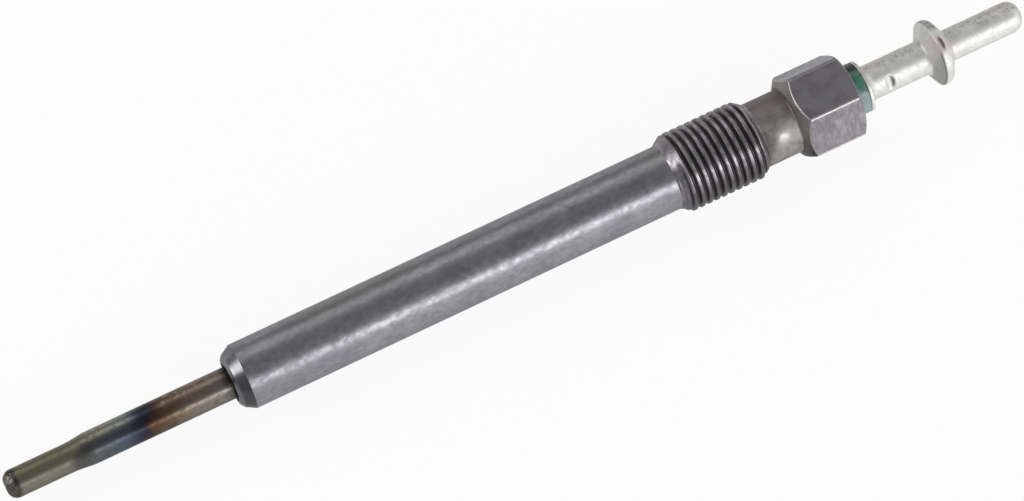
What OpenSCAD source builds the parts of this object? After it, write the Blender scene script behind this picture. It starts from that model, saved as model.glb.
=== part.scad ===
// Diesel glow plug with a metal-sheathed heater, lying on a flat of its spanner hexagon.
// The axis runs along X, from the heater tip at the low end to the terminal pin at the high end.
// The origin is on the axis, in the plane of the housing's front face. All sizes are in millimetres.

/* [Heater tube] */
// Outside diameter of the tube
tube_d = 4; // [3.9:0.05:4.4]
// Wall of the tube
tube_wall = 0.55; // [0.4:0.05:0.6]
// Length that stands out of the housing
tube_reach = 28.6; // [26:0.1:40]
// Length that is pressed into the housing
tube_grip = 16; // [10:0.5:30]
// Length that stands past the press fit, inside the housing
tube_tail = 4; // [2:0.5:8]
// Outside diameter of the slim tip
tip_d = 3.5; // [3.4:0.05:3.9]
// Length of the slim tip
tip_len = 8.45; // [6:0.05:12]
// Length of the taper from the slim tip to the tube
taper_len = 2.05; // [1:0.05:4]
// Radius round the closed end
tip_round = 1.2; // [0.4:0.05:1.6]
// Thickness of the closed end
tip_floor = 1.4; // [1:0.1:2]

/* [Coils] */
// Mean diameter of both coils
coil_d = 1.7; // [1.5:0.05:1.8]
// Wire of the heating coil
heat_wire = 0.36; // [0.25:0.01:0.4]
// Turns of the heating coil
heat_turns = 12; // [8:1:16]
// Pitch of the heating coil
heat_pitch = 0.6; // [0.5:0.05:0.8]
// Straight end of the heating coil, welded into the tip
heat_leg = 0.8; // [0.7:0.1:1.5]
// Wire of the control coil
control_wire = 0.3; // [0.2:0.01:0.4]
// Turns of the control coil
control_turns = 20; // [12:1:24]
// Pitch of the control coil
control_pitch = 0.75; // [0.5:0.05:0.9]

/* [Connecting rod] */
// Diameter of the rod in the housing
rod_d = 3.2; // [2.8:0.1:3.8]
// Diameter of the rod in the heater tube
rod_neck_d = 2; // [1.8:0.05:2.05]
// Length of the rod's end that the control coil is pushed over
spigot_len = 2.4; // [1:0.1:4]
// Diameter of the stem that the terminal is crimped on
stem_d = 2.6; // [2:0.1:3]
// Length of that stem
stem_len = 8; // [5:0.5:11]
// Bevel round the rod's ends and shoulder
rod_bevel = 0.3; // [0.1:0.05:0.5]

/* [Shank] */
// Diameter of the shank
shank_d = 8.15; // [7.5:0.05:8.7]
// Length from the front face to the thread
shank_len = 57.6; // [40:0.1:90]
// Diameter of the flat front face
nose_d = 5.7; // [5.4:0.1:6.2]
// Length of the bevel round the front face
nose_bevel = 0.35; // [0.2:0.05:0.6]
// Diameter where the conical seat begins
seat_d = 6.7; // [6.3:0.1:7.2]
// Half the angle of the conical seat
seat_angle = 30; // [25:1:45]
// Bevel at the mouth of the heater bore
mouth_bevel = 0.45; // [0.2:0.05:0.6]
// Diameter of the bore round the connecting rod
bore_d = 5; // [4.6:0.1:5.4]

/* [Thread] */
// Outside diameter of the thread
thread_d = 10; // [9.8:0.1:10.4]
// Pitch of the thread
thread_pitch = 1; // [0.75:0.05:1.25]
// Length of the thread with both bevels
thread_len = 12; // [8:0.1:20]
// Length of the bevel where the thread starts
thread_lead = 1.4; // [0.8:0.1:2]
// Length of the bevel where the thread ends
thread_runout = 1.2; // [0.8:0.1:2]

/* [Hexagon] */
// Diameter of the neck between thread and hexagon
neck_d = 8.2; // [7.6:0.05:8.8]
// Length of that neck
neck_len = 4.4; // [2:0.05:8]
// Width across flats
hex_af = 10; // [9.8:0.1:12]
// Length of the hexagon with both bevels
hex_len = 8.2; // [7:0.1:14]
// Distance from the flats in to the rim of the hexagon's end face
hex_face_inset = 0.1; // [0.05:0.05:0.6]
// Angle of the bevels at the hexagon's ends, from the plane across the axis
hex_bevel_angle = 30; // [20:1:45]

/* [Seals] */
// Length of the seal in the heater tube
tube_seal_len = 3; // [2:0.5:5]
// Section of the O-ring round the rod
ring_section = 1.4; // [1.2:0.05:1.6]
// Depth of the bore that holds the O-ring
ring_bore_depth = 3.4; // [2.6:0.1:5]
// Step from the insulating bush's spigot out to its head
bush_lip = 0.25; // [0.15:0.05:0.6]
// Length of the bush's head
bush_head = 1.75; // [1:0.05:3]
// Radius round the bush's head
bush_round = 0.25; // [0.1:0.05:0.5]

/* [Terminal] */
// Length of the rim of the foot that bears on the bush
foot_rim = 0.45; // [0.2:0.05:0.6]
// Width of the flat ring behind the foot's rim
foot_edge = 0.1; // [0.05:0.05:0.3]
// Radius of the hollow from that ring to the sleeve
foot_hollow = 0.95; // [0.6:0.05:1.05]
// Diameter of the sleeve
sleeve_d = 4.4; // [4:0.1:5]
// Length from the foot to the collar
sleeve_len = 8.75; // [6:0.05:12]
// Diameter of the collar
collar_d = 8.4; // [7:0.1:10]
// Distance from the collar's foot on the sleeve to its rim
collar_front = 1.35; // [1:0.05:2.5]
// Length of the collar's rim
collar_rim = 0.25; // [0.1:0.05:1]
// Distance from the collar's rim to its foot on the pin
collar_back = 1.75; // [1.2:0.05:2.5]
// Radius round the rim on the sleeve's side
collar_front_round = 0.3; // [0.1:0.05:0.5]
// Radius round the rim on the pin's side
collar_back_round = 0.9; // [0.1:0.05:1]
// Diameter of the round pin
pin_d = 4; // [3.5:0.1:5]
// Length of the round pin past the collar
pin_len = 10.15; // [8:0.05:16]
// Radius round the pin's end
pin_round = 1.6; // [0.4:0.1:1.7]
// Distance from the foot to the crimp marks
crimp_at = 3.3; // [2.5:0.05:5]
// Radius of the crimping punch
crimp_r = 0.9; // [0.6:0.05:1.2]
// Depth of the crimp marks
crimp_depth = 0.32; // [0.2:0.02:0.4]
// Angle of the crimp marks round the axis, from the top
crimp_turn = 46; // [0:1:90]

/* [Hidden] */
// Clearance between pieces that slide together
slip = 0.03;
// Facets that OpenSCAD draws round a turned piece
round_fn = 96;
// Steps in a quarter of a rounded edge
arc_steps = 8;
// Rings in one turn of a coil and sides of its wire
coil_steps = 16;
wire_sides = 6;
// Steps in the bend between a coil and its straight end
bend_steps = 4;

tube_r = tube_d / 2;
tube_bore_r = tube_r - tube_wall;
tube_end = tube_grip + tube_tail;
tip_r = tip_d / 2;
tip_bore_r = tip_r - tube_wall;
tip_x = -tube_reach;
taper_x = tip_x + tip_len;
floor_x = tip_x + tip_floor;

coil_r = coil_d / 2;
widest_wire = max(heat_wire, control_wire);
channel_r = coil_r + widest_wire / 2 + slip;
core_r = coil_r - widest_wire / 2 - slip;
leg_bend = heat_wire;
bend_turn = leg_bend / coil_r * 180 / PI;
coil_x = floor_x + heat_leg;
control_x = coil_x + heat_turns * heat_pitch;
control_end = control_x + control_turns * control_pitch;

fill_end = tube_end - tube_seal_len;
spigot_r = coil_r - control_wire / 2 - slip;
rod_neck_x = control_end + control_wire / 2 + slip;
spigot_x = rod_neck_x - spigot_len;

shank_r = shank_d / 2;
seat_r = seat_d / 2;
seat_end = nose_bevel + (shank_r - seat_r) / tan(seat_angle);
thread_r = thread_d / 2;
// Proportions of a metric thread, as shares of its pitch
crest_flat = thread_pitch / 8;
root_flat = thread_pitch / 4;
thread_depth = (thread_pitch - crest_flat - root_flat) / 2 / tan(30);
thread_end = shank_len + thread_len;
groove_count = floor((thread_len - thread_lead - thread_runout - crest_flat) / thread_pitch);

neck_r = neck_d / 2;
hex_x = thread_end + neck_len;
hex_end = hex_x + hex_len;
hex_corner_r = hex_af / 2 / cos(30);
hex_face_r = hex_af / 2 - hex_face_inset;

ring_bore_r = rod_d / 2 + ring_section;
ring_bore_x = hex_end - ring_bore_depth;
bush_x = ring_bore_x + ring_section;
bush_r = ring_bore_r + bush_lip;
foot_x = hex_end + bush_head;
stem_end = foot_x + stem_len;

collar_x = foot_x + sleeve_len;
pin_x = collar_x + collar_front + collar_rim + collar_back;
pin_end = pin_x + pin_len;

// Points [radius, x] on a rounded edge of a turned profile.
function edge_arc(centre, r, from, to) =
    [for (i = [0 : arc_steps])
        let (a = from + (to - from) * i / arc_steps)
        centre + r * [cos(a), sin(a)]];

// Angle on a circle where a straight line from the point p meets it as a tangent.
function tangent_angle(centre, r, p, side) =
    let (reach = p - centre)
    atan2(reach[1], reach[0]) - side * acos(r / norm(reach));

// A point of a coil: its distance along the axis and its angle round it.
function coil_point(x, a) = [x, coil_r * sin(a), coil_r * cos(a)];

// The turns of a coil that starts at x.
function coil_turns(x, turns, pitch) =
    [for (i = [0 : turns * coil_steps])
        coil_point(x + pitch * i / coil_steps, 360 * i / coil_steps)];

// The straight end of the heating coil and the bend that takes it into the first turn.
function coil_leg() =
    concat([coil_point(floor_x, -bend_turn)],
           [for (i = [0 : bend_steps - 1])
               let (a = 90 * i / bend_steps)
               coil_point(coil_x - leg_bend * (1 - sin(a)), -bend_turn * cos(a))]);

function unit(v) = v / norm(v);
// The way a path runs past its point i.
function along(path, i) = path[min(i + 1, len(path) - 1)] - path[max(i - 1, 0)];

// A round wire swept along a path that winds about the X axis. An end that closes a turn is cut in a
// plane through the axis, and the end of a straight leg is cut square to the axis.
module wire(path, d, starts_with_leg = false) {
    points = [for (i = [0 : len(path) - 1])
        let (out = unit([0, path[i][1], path[i][2]]),
             closes_turn = i == len(path) - 1 || (i == 0 && !starts_with_leg),
             side = closes_turn ? [1, 0, 0] : unit(cross(along(path, i), out)))
        for (k = [0 : wire_sides - 1])
            path[i] + d / 2 * (cos(360 * k / wire_sides) * out + sin(360 * k / wire_sides) * side)];
    last = (len(path) - 1) * wire_sides;
    walls = [for (i = [0 : len(path) - 2]) for (k = [0 : wire_sides - 1])
        let (a = i * wire_sides + k, b = i * wire_sides + (k + 1) % wire_sides)
        each [[a, b, b + wire_sides], [a, b + wire_sides, a + wire_sides]]];
    start_face = [for (k = [wire_sides - 1 : -1 : 0]) k];
    end_face = [for (k = [0 : wire_sides - 1]) last + k];
    polyhedron(points, concat(walls, [start_face, end_face]));
}

// A piece turned about the X axis from a profile of [radius, x] points.
module turned(profile) {
    rotate([0, 90, 0]) rotate_extrude($fn = round_fn) polygon(profile);
}

module heater_tube() {
    outside = concat([[0, tip_x]],
                     edge_arc([tip_r - tip_round, tip_x + tip_round], tip_round, -90, 0),
                     [[tip_r, taper_x], [tube_r, taper_x + taper_len], [tube_r, tube_end]]);
    inside = [[tube_bore_r, tube_end], [tube_bore_r, taper_x + taper_len],
              [tip_bore_r, taper_x], [tip_bore_r, floor_x], [0, floor_x]];
    color("dimgray") turned(concat(outside, inside));
}

module heating_coil() {
    path = concat(coil_leg(), coil_turns(coil_x, heat_turns, heat_pitch));
    color("sienna") wire(path, heat_wire, starts_with_leg = true);
}

module control_coil() {
    color("silver") wire(coil_turns(control_x, control_turns, control_pitch), control_wire);
}

// Packed powder round and inside the coils, which lie in its channel. The rod's neck closes the channel.
module magnesia_filling() {
    outside = [[0, floor_x], [tip_bore_r, floor_x], [tip_bore_r, taper_x],
               [tube_bore_r, taper_x + taper_len], [tube_bore_r, fill_end]];
    channel_x = coil_x - leg_bend - heat_wire / 2 - slip;
    channel_end = rod_neck_x - slip;
    neck_hole_r = rod_neck_d / 2 + slip;
    channel = [[neck_hole_r, fill_end], [neck_hole_r, channel_end], [channel_r, channel_end],
               [channel_r, channel_x], [core_r, channel_x],
               [core_r, spigot_x - slip], [0, spigot_x - slip]];
    color("whitesmoke") difference() {
        turned(concat(outside, channel));
        translate([floor_x, 0, 0]) rotate([bend_turn, 0, 0]) translate([-slip, 0, coil_r])
            rotate([0, 90, 0])
                cylinder(d = heat_wire + slip, h = channel_x - floor_x + 2 * slip, $fn = round_fn);
    }
}

module tube_seal() {
    color("firebrick")
        turned([[rod_neck_d / 2, fill_end], [tube_bore_r, fill_end],
                [tube_bore_r, tube_end], [rod_neck_d / 2, tube_end]]);
}

module connecting_rod() {
    shoulder_x = tube_end + 2 * rod_bevel;
    color("slategray")
        turned([[0, spigot_x], [spigot_r - rod_bevel, spigot_x], [spigot_r, spigot_x + rod_bevel],
                [spigot_r, rod_neck_x], [rod_neck_d / 2, rod_neck_x], [rod_neck_d / 2, shoulder_x],
                [rod_d / 2 - rod_bevel, shoulder_x], [rod_d / 2, shoulder_x + rod_bevel],
                [rod_d / 2, foot_x], [stem_d / 2, foot_x], [stem_d / 2, stem_end - rod_bevel],
                [stem_d / 2 - rod_bevel, stem_end], [0, stem_end]]);
}

// The turned shank and its thread, drawn as rings with the true pitch, crests and roots of the thread.
module threaded_shank() {
    grooves = [for (i = [0 : groove_count - 1])
        let (x = shank_len + thread_lead + crest_flat + i * thread_pitch,
             flank = (thread_pitch - crest_flat - root_flat) / 2)
        each [[thread_r, x], [thread_r - thread_depth, x + flank],
              [thread_r - thread_depth, x + flank + root_flat], [thread_r, x + 2 * flank + root_flat]]];
    turned(concat([[0, 0], [nose_d / 2, 0], [seat_r, nose_bevel], [shank_r, seat_end],
                   [shank_r, shank_len], [thread_r, shank_len + thread_lead]],
                  grooves,
                  [[thread_r, thread_end - thread_runout], [neck_r, thread_end],
                   [neck_r, hex_x + neck_r], [0, hex_x + neck_r]]));
}

// The hexagon, bevelled by turning at both ends.
module spanner_hexagon() {
    intersection() {
        translate([hex_x, 0, 0]) rotate([0, 90, 0]) rotate([0, 0, 30])
            cylinder(r = hex_corner_r, h = hex_len, $fn = 6);
        turned([[0, hex_x], [neck_r, hex_x],
                [hex_corner_r, hex_x + (hex_corner_r - neck_r) * tan(hex_bevel_angle)],
                [hex_corner_r, hex_end - (hex_corner_r - hex_face_r) * tan(hex_bevel_angle)],
                [hex_face_r, hex_end], [0, hex_end]]);
    }
}

module housing() {
    past_r = tube_r + mouth_bevel + slip;
    color("slategray") difference() {
        union() {
            threaded_shank();
            spanner_hexagon();
        }
        turned([[0, -slip], [past_r, -slip], [tube_r, mouth_bevel], [tube_r, tube_grip],
                [bore_d / 2, tube_grip + bore_d / 2 - tube_r], [bore_d / 2, ring_bore_x],
                [ring_bore_r, ring_bore_x], [ring_bore_r, hex_end + slip], [0, hex_end + slip]]);
    }
}

module ring_seal() {
    color("black") rotate([0, 90, 0]) rotate_extrude($fn = round_fn)
        translate([rod_d / 2 + ring_section / 2, ring_bore_x + ring_section / 2])
            circle(d = ring_section, $fn = round_fn);
}

module insulating_bush() {
    color("seagreen")
        turned(concat([[rod_d / 2 + slip, bush_x], [ring_bore_r, bush_x], [ring_bore_r, hex_end],
                       [bush_r, hex_end]],
                      edge_arc([bush_r - bush_round, foot_x - bush_round], bush_round, 0, 90),
                      [[rod_d / 2 + slip, foot_x]]));
}

module terminal_cap() {
    sleeve_r = sleeve_d / 2;
    foot_r = sleeve_r + foot_hollow + foot_edge;
    collar_r = collar_d / 2;
    pin_r = pin_d / 2;
    hollow_x = foot_x + foot_rim + foot_hollow;
    rim_x = collar_x + collar_front;
    front_foot = [sleeve_r, collar_x];
    front_centre = [collar_r - collar_front_round, rim_x];
    back_foot = [pin_r, pin_x];
    back_centre = [collar_r - collar_back_round, rim_x + collar_rim];
    outside = concat(
        [[foot_r, foot_x], [foot_r, foot_x + foot_rim]],
        edge_arc([sleeve_r + foot_hollow, hollow_x], foot_hollow, 270, 180),
        [front_foot],
        edge_arc(front_centre, collar_front_round,
                 tangent_angle(front_centre, collar_front_round, front_foot, -1), 0),
        edge_arc(back_centre, collar_back_round,
                 0, tangent_angle(back_centre, collar_back_round, back_foot, 1)),
        [back_foot],
        edge_arc([pin_r - pin_round, pin_end - pin_round], pin_round, 0, 90),
        [[0, pin_end]]);
    inside = [[0, stem_end + slip], [stem_d / 2, stem_end + slip], [stem_d / 2, foot_x]];
    color("gainsboro") difference() {
        turned(concat(outside, inside));
        for (side = [0, 180])
            rotate([crimp_turn + side, 0, 0])
                translate([foot_x + crimp_at, 0, sleeve_r + crimp_r - crimp_depth])
                    sphere(r = crimp_r, $fn = round_fn);
    }
}

housing();
heater_tube();
heating_coil();
control_coil();
magnesia_filling();
tube_seal();
connecting_rod();
ring_seal();
insulating_bush();
terminal_cap();
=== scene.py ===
"""Looks of a diesel glow plug: turned pieces, a cut thread, heat colours and worn metal on white."""
import math

import bpy
import numpy as np
from mathutils import Matrix, Vector


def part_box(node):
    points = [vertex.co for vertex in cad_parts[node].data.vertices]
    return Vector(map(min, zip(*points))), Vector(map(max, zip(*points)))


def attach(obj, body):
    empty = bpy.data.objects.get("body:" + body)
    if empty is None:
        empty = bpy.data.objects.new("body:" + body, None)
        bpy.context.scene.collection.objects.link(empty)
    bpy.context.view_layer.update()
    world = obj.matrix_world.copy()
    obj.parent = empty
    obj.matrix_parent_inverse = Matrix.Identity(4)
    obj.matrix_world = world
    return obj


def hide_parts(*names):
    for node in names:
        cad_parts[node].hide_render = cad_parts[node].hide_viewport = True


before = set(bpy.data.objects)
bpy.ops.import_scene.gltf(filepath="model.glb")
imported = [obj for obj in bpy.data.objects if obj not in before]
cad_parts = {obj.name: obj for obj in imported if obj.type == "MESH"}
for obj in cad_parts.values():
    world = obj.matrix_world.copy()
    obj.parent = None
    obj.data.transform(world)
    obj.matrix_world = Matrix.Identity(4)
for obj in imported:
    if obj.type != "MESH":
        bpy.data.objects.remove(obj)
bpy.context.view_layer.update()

# Units: millimetres, along X from the front face of the housing, unless a comment says otherwise
MM = 0.001
TO_MM = 1000.0


def box_mm(node):
    """Lowest and highest corner of a CAD node, in millimetres."""
    low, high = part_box(node)
    return low * TO_MM, high * TO_MM


_, HOUSING_HIGH = box_mm("housing")
TUBE_LOW, TUBE_HIGH = box_mm("heater_tube")
BUSH_LOW, BUSH_HIGH = box_mm("insulating_bush")
CAP_LOW, CAP_HIGH = box_mm("terminal_cap")

# Heater tube
TIP_X = TUBE_LOW.x
TUBE_END_X = TUBE_HIGH.x
TUBE_R = TUBE_HIGH.z
TIP_R = 1.75
TIP_ROUND = 1.2
TAPER_FROM_X = -20.15
TAPER_TO_X = -18.10
TAPER_ROUND = 10.0
TUBE_WALL = 0.55
TIP_FLOOR_X = -27.2

# Housing: seat and shank
MOUTH_R = 2.45
MOUTH_DEPTH = 0.45
FACE_R = 2.85
NOSE_X = 0.35
NOSE_R = 3.35
SEAT_END_X = 1.606
SHANK_R = 4.075
SHANK_END_X = 57.6

# Housing: thread
CREST_R = 5.0
LEAD_END_X = 59.0
CREST_END_X = 68.4
NECK_FROM_X = 69.6
PITCH = 1.0
THREAD_DEPTH = 0.541
CREST_FLAT = 0.34
ROOT_FLAT = 0.12
GROOVE_ROUND = 0.6
THREAD_PHASE = 0.88
THREAD_ROWS_PER_PITCH = 22

# Housing: where the thread runs in. Before its first full turn, shallow closer grooves lie on the side of
# -Y, with their full depth where the cosine of the angle from -Y is over a limit.
FIRST_TURN_X = 58.35
FIRST_TURN_SLANT = 0.45
FIRST_TURN_LENGTH = 0.5
RUN_IN_FROM_X = 57.7
RUN_IN_PITCH = 0.7
RUN_IN_DEPTH = 0.17
RUN_IN_COSINE = 0.5

# Housing: neck, hexagon and bores
NECK_R = 4.1
HEX_SIDES = 6
HEX_FROM_X = 74.0
HEX_TO_X = HOUSING_HIGH.x
HEX_APOTHEM = HOUSING_HIGH.z
HEX_END_R = 4.9
HEX_CORNER_ROUND = 0.32
HEX_FRONT_ROUND = 0.4
HEX_BACK_ROUND = 0.12
HEX_FOOT_ROUND = 0.3
HEX_FRONT_BEVEL = math.tan(math.radians(35))
HEX_BACK_BEVEL = math.tan(math.radians(30))
BORE_R = 2.5
BORE_FROM_X = 16.5
GRIP_END_X = 16.0
POCKET_R = 3.0
POCKET_FROM_X = 78.8

# Insulating bush
BUSH_SPIGOT_R = 3.0
BUSH_HEAD_R = BUSH_HIGH.z
BUSH_HEAD_X = HEX_TO_X
BUSH_BORE_R = 1.63
BUSH_EDGE = 0.25

# Terminal, with the angles of its crimp marks in degrees
FOOT_X = CAP_LOW.x
FOOT_R = 3.25
FOOT_THICK = 0.45
FOOT_HOLLOW = 0.95
SLEEVE_R = 2.2
COLLAR_FROM_X = 92.7
COLLAR_FRONT_X = 93.879
COLLAR_BACK_X = 94.829
COLLAR_R = CAP_HIGH.z
COLLAR_FOOT_ROUND = 0.6
COLLAR_FRONT_ROUND = 0.3
COLLAR_BACK_ROUND = 0.9
COLLAR_TO_X = 96.05
PIN_R = 2.0
PIN_END_X = CAP_HIGH.x
PIN_ROUND = 1.6
CAP_BORE_R = 1.3
CAP_BORE_END_X = 91.98
CRIMP_X = 87.25
CRIMP_BALL_R = 0.9
CRIMP_DEPTH = 0.32
CRIMP_LIP = 0.05
CRIMP_STRETCH = 1.5
CRIMP_ANGLES = (140, 320)

# Mesh grid, with the extra columns in degrees from each corner of the hexagon
AROUND = 168
CORNER_COLUMNS = (-2.6, -1.6, -1.2, -0.8, -0.4, 0.4, 0.8, 1.2, 1.6, 2.6)
EDGE = 0.04
SOFT_EDGE = 0.08
LARGE_ROUND = 0.2
EDGE_STEPS = 4
ROUND_STEPS = 14
SUPPORT = 0.05
SHORTEST_SPLIT = 4 * SUPPORT
LONGEST_ROW = 4.0
FINE_ROW = 0.05

# Camera, from the photo: tilt, turn and roll of the view in degrees, its distance, and where a point shows
VIEW_TILT = 10.3
VIEW_TURN = 18.2
VIEW_ROLL = 25.13
VIEW_DISTANCE = 420.0
VIEW_NEAREST = 10.0
FOCAL_PX = 3546.0
IMAGE_W = 1024
IMAGE_H = 501
SENSOR = 36.0
AIM = Vector((37.06, 0.0, 0.0))
AIM_PX = (513.35, 249.45)


# Mesh building


def turned_angles():
    """Angles about X, from +Y towards +Z, with extra columns at the corners of the hexagon."""
    plain = np.arange(AROUND) * 360.0 / AROUND
    corners = [360.0 / HEX_SIDES * k + step for k in range(HEX_SIDES) for step in CORNER_COLUMNS]
    return np.radians(np.sort(np.concatenate([plain, np.mod(corners, 360.0)])))


ANGLES = turned_angles()


def point(x, r):
    """One row of the grid: place along X and radius at every angle."""
    return np.stack(np.broadcast_arrays(np.asarray(x, float), np.asarray(r, float), ANGLES)[:2])


def unit(v):
    """Directions of length 1, one for each angle."""
    return v / np.linalg.norm(v, axis=0)


def corner_arc(before, corner, after, radius):
    """Rows of the arc that rounds one corner of an outline."""
    ahead = unit(corner - before)
    onward = unit(after - corner)
    cosine = (ahead * onward).sum(0)
    turn = np.arccos(np.clip(cosine, -1, 1))
    inward = unit(onward - ahead * cosine)
    start = corner - ahead * radius * np.tan(turn / 2)
    steps = ROUND_STEPS if radius > LARGE_ROUND else EDGE_STEPS
    shares = np.linspace(0, 1, steps + 1)
    return [start + radius * (np.sin(turn * s) * ahead + (1 - np.cos(turn * s)) * inward) for s in shares]


def straight(start, end):
    """Rows between two points, close to both ends and no further apart than the longest row."""
    length = np.linalg.norm(end - start, axis=0).min()
    if length < SHORTEST_SPLIT:
        return []
    margin = SUPPORT / length
    count = max(2, math.ceil(length / LONGEST_ROW) + 1)
    return [start + (end - start) * s for s in np.linspace(margin, 1 - margin, count)]


def rounded(outline):
    """Rows along an outline of (x, r, edge radius), each corner rounded. The two end points stay sharp."""
    corners = [point(x, r) for x, r, _ in outline]
    rows = [corners[0]]
    for before, corner, after, (_, _, edge) in zip(corners, corners[1:], corners[2:], outline[1:-1]):
        arc = corner_arc(before, corner, after, edge)
        rows += straight(rows[-1], arc[0]) + arc
    return rows + straight(rows[-1], corners[-1]) + [corners[-1]]


def grid_faces(rows, ring):
    """Quads between the rows of a grid. In a ring the last row joins the first."""
    columns = len(ANGLES)
    i, j = np.meshgrid(np.arange(rows if ring else rows - 1), np.arange(columns), indexing="ij")
    row = i * columns
    next_row = (i + 1) % rows * columns
    beside = (j + 1) % columns
    quads = np.stack([row + j, row + beside, next_row + beside, next_row + j], -1)
    return quads.reshape(-1, 4).tolist()


def fan(pole, start, outward):
    """Triangles from a pole on the axis to a row of the grid."""
    row = start + np.arange(len(ANGLES))
    beside = np.roll(row, -1)
    order = (beside, row) if outward else (row, beside)
    return [(pole, a, b) for a, b in zip(order[0].tolist(), order[1].tolist())]


def lathe(name, rows, ring):
    """A closed mesh turned about X. Its rows form a ring, or run from pole to pole on the axis."""
    body = rows if ring else rows[1:-1]
    grid = np.stack(body)
    x, r = grid[:, 0], grid[:, 1]
    places = np.stack([x, r * np.cos(ANGLES), r * np.sin(ANGLES)], -1).reshape(-1, 3)
    faces = grid_faces(len(body), ring)
    if not ring:
        poles = [[rows[k][0, 0], 0.0, 0.0] for k in (0, -1)]
        last_row = (len(body) - 1) * len(ANGLES)
        faces += fan(len(places), 0, True) + fan(len(places) + 1, last_row, False)
        places = np.concatenate([places, poles])
    mesh = bpy.data.meshes.new(name)
    mesh.from_pydata((places * MM).tolist(), [], faces)
    mesh.polygons.foreach_set("use_smooth", np.ones(len(faces), bool))
    piece = bpy.data.objects.new(name, mesh)
    bpy.context.scene.collection.objects.link(piece)
    return piece


def stand_for(piece, node, slot, *materials):
    """The piece rides on the only body and is shown in place of a CAD node."""
    for material in materials:
        piece.data.materials.append(material)
    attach(piece, "root")
    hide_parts(node)


# Shapes


def hexagon_radius():
    """Radius of the hexagon at every angle, with its long edges rounded."""
    half_side = math.pi / HEX_SIDES
    off_flat = np.mod(ANGLES, 2 * half_side) - half_side
    off_corner = half_side - np.abs(off_flat)
    flat = HEX_APOTHEM / np.cos(off_flat)
    reach = (HEX_APOTHEM - HEX_CORNER_ROUND) / math.cos(half_side)
    inside = np.maximum(HEX_CORNER_ROUND ** 2 - (reach * np.sin(off_corner)) ** 2, 0)
    arc = reach * np.cos(off_corner) + np.sqrt(inside)
    flat_end = math.atan((HEX_APOTHEM - HEX_CORNER_ROUND) * math.tan(half_side) / HEX_APOTHEM)
    return np.where(np.abs(off_flat) <= flat_end, flat, arc)


def smooth(t):
    """A share from 0 to 1 with a soft start and end."""
    return t * t * (3 - 2 * t)


def started(x, begins):
    """How far a groove is cut at x, from 0 where it begins to 1 at its full depth."""
    return smooth(np.clip((x - begins) / FIRST_TURN_LENGTH, 0, 1))


def thread_row(x):
    """One row of the thread: a right-handed helix cut into the crest and the cones at its ends."""
    stations = (SHANK_END_X, LEAD_END_X, CREST_END_X, NECK_FROM_X)
    envelope = np.interp(x, stations, (SHANK_R, CREST_R, CREST_R, NECK_R))
    run_in = smooth(np.clip(-np.cos(ANGLES) / RUN_IN_COSINE, 0, 1))
    turns = (x - LEAD_END_X) / PITCH
    if x < LEAD_END_X:
        turns = turns * (1 + run_in * (PITCH / RUN_IN_PITCH - 1))
    off_crest = np.abs(np.mod(turns - ANGLES / math.tau + THREAD_PHASE, 1.0) - 0.5)
    flank = 0.5 - (CREST_FLAT + ROOT_FLAT) / 2
    down = np.clip((off_crest - CREST_FLAT / 2) / flank, 0, 1)
    depth = (1 - GROOVE_ROUND) * down + GROOVE_ROUND * smooth(down)
    first_turn = FIRST_TURN_X + FIRST_TURN_SLANT * np.cos(ANGLES)
    groove = CREST_R - THREAD_DEPTH * depth * started(x, first_turn)
    shallow = envelope - RUN_IN_DEPTH * depth * run_in * started(x, RUN_IN_FROM_X)
    return point(x, np.minimum(np.minimum(envelope, groove), shallow))


def shell_rows():
    """Rows of the shell: its seat, shank, thread, neck, hexagon and stepped bore, as a ring."""
    hexagon = hexagon_radius()
    hex_front = HEX_FROM_X + (hexagon - NECK_R) * HEX_FRONT_BEVEL
    hex_back = HEX_TO_X - (hexagon - HEX_END_R) * HEX_BACK_BEVEL
    front = rounded([
        (0, MOUTH_R, EDGE),
        (0, FACE_R, EDGE),
        (NOSE_X, NOSE_R, EDGE),
        (SEAT_END_X, SHANK_R, SOFT_EDGE),
        (SHANK_END_X, SHANK_R, EDGE),
    ])
    count = round((NECK_FROM_X - SHANK_END_X) * THREAD_ROWS_PER_PITCH)
    thread = [thread_row(x) for x in np.linspace(SHANK_END_X, NECK_FROM_X, count + 1)[1:]]
    back = rounded([
        (NECK_FROM_X, NECK_R, EDGE),
        (HEX_FROM_X, NECK_R, HEX_FOOT_ROUND),
        (hex_front, hexagon, HEX_FRONT_ROUND),
        (hex_back, hexagon, HEX_BACK_ROUND),
        (HEX_TO_X, HEX_END_R, SOFT_EDGE),
        (HEX_TO_X, POCKET_R, EDGE),
        (POCKET_FROM_X, POCKET_R, EDGE),
        (POCKET_FROM_X, BORE_R, EDGE),
        (BORE_FROM_X, BORE_R, EDGE),
        (GRIP_END_X, TUBE_R, EDGE),
        (MOUTH_DEPTH, TUBE_R, EDGE),
        (0, MOUTH_R, EDGE),
    ])
    return front + thread + back[1:-1]


def paint_shell(mesh):
    """Gives each face of the shell its material's number: first the bores, then the stretches along X."""
    centres = np.zeros(len(mesh.polygons) * 3)
    mesh.polygons.foreach_get("center", centres)
    x, y, z = centres.reshape(-1, 3).T * TO_MM
    # The bores, and the mouth inside its shade radius, take the nearly black bore steel: painted shade.
    in_bore = np.hypot(y, z) < np.where(x > MOUTH_DEPTH, POCKET_R + EDGE, MOUTH_SHADE_R)
    stretch = np.searchsorted((SEAT_END_X, SHANK_END_X, NECK_FROM_X, HEX_FROM_X), x, side="right")
    mesh.polygons.foreach_set("material_index", np.where(in_bore, 0, stretch + 1).astype(np.int32))


def housing_piece():
    """The steel shell, with a steel of its own for each stretch."""
    piece = lathe("shell", shell_rows(), ring=True)
    outside = (seat_steel(), shank_steel(), thread_steel(), neck_steel(), hexagon_steel())
    stand_for(piece, "housing", "steel_shell", shaded_bore_steel(), *outside)
    paint_shell(piece.data)


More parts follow.
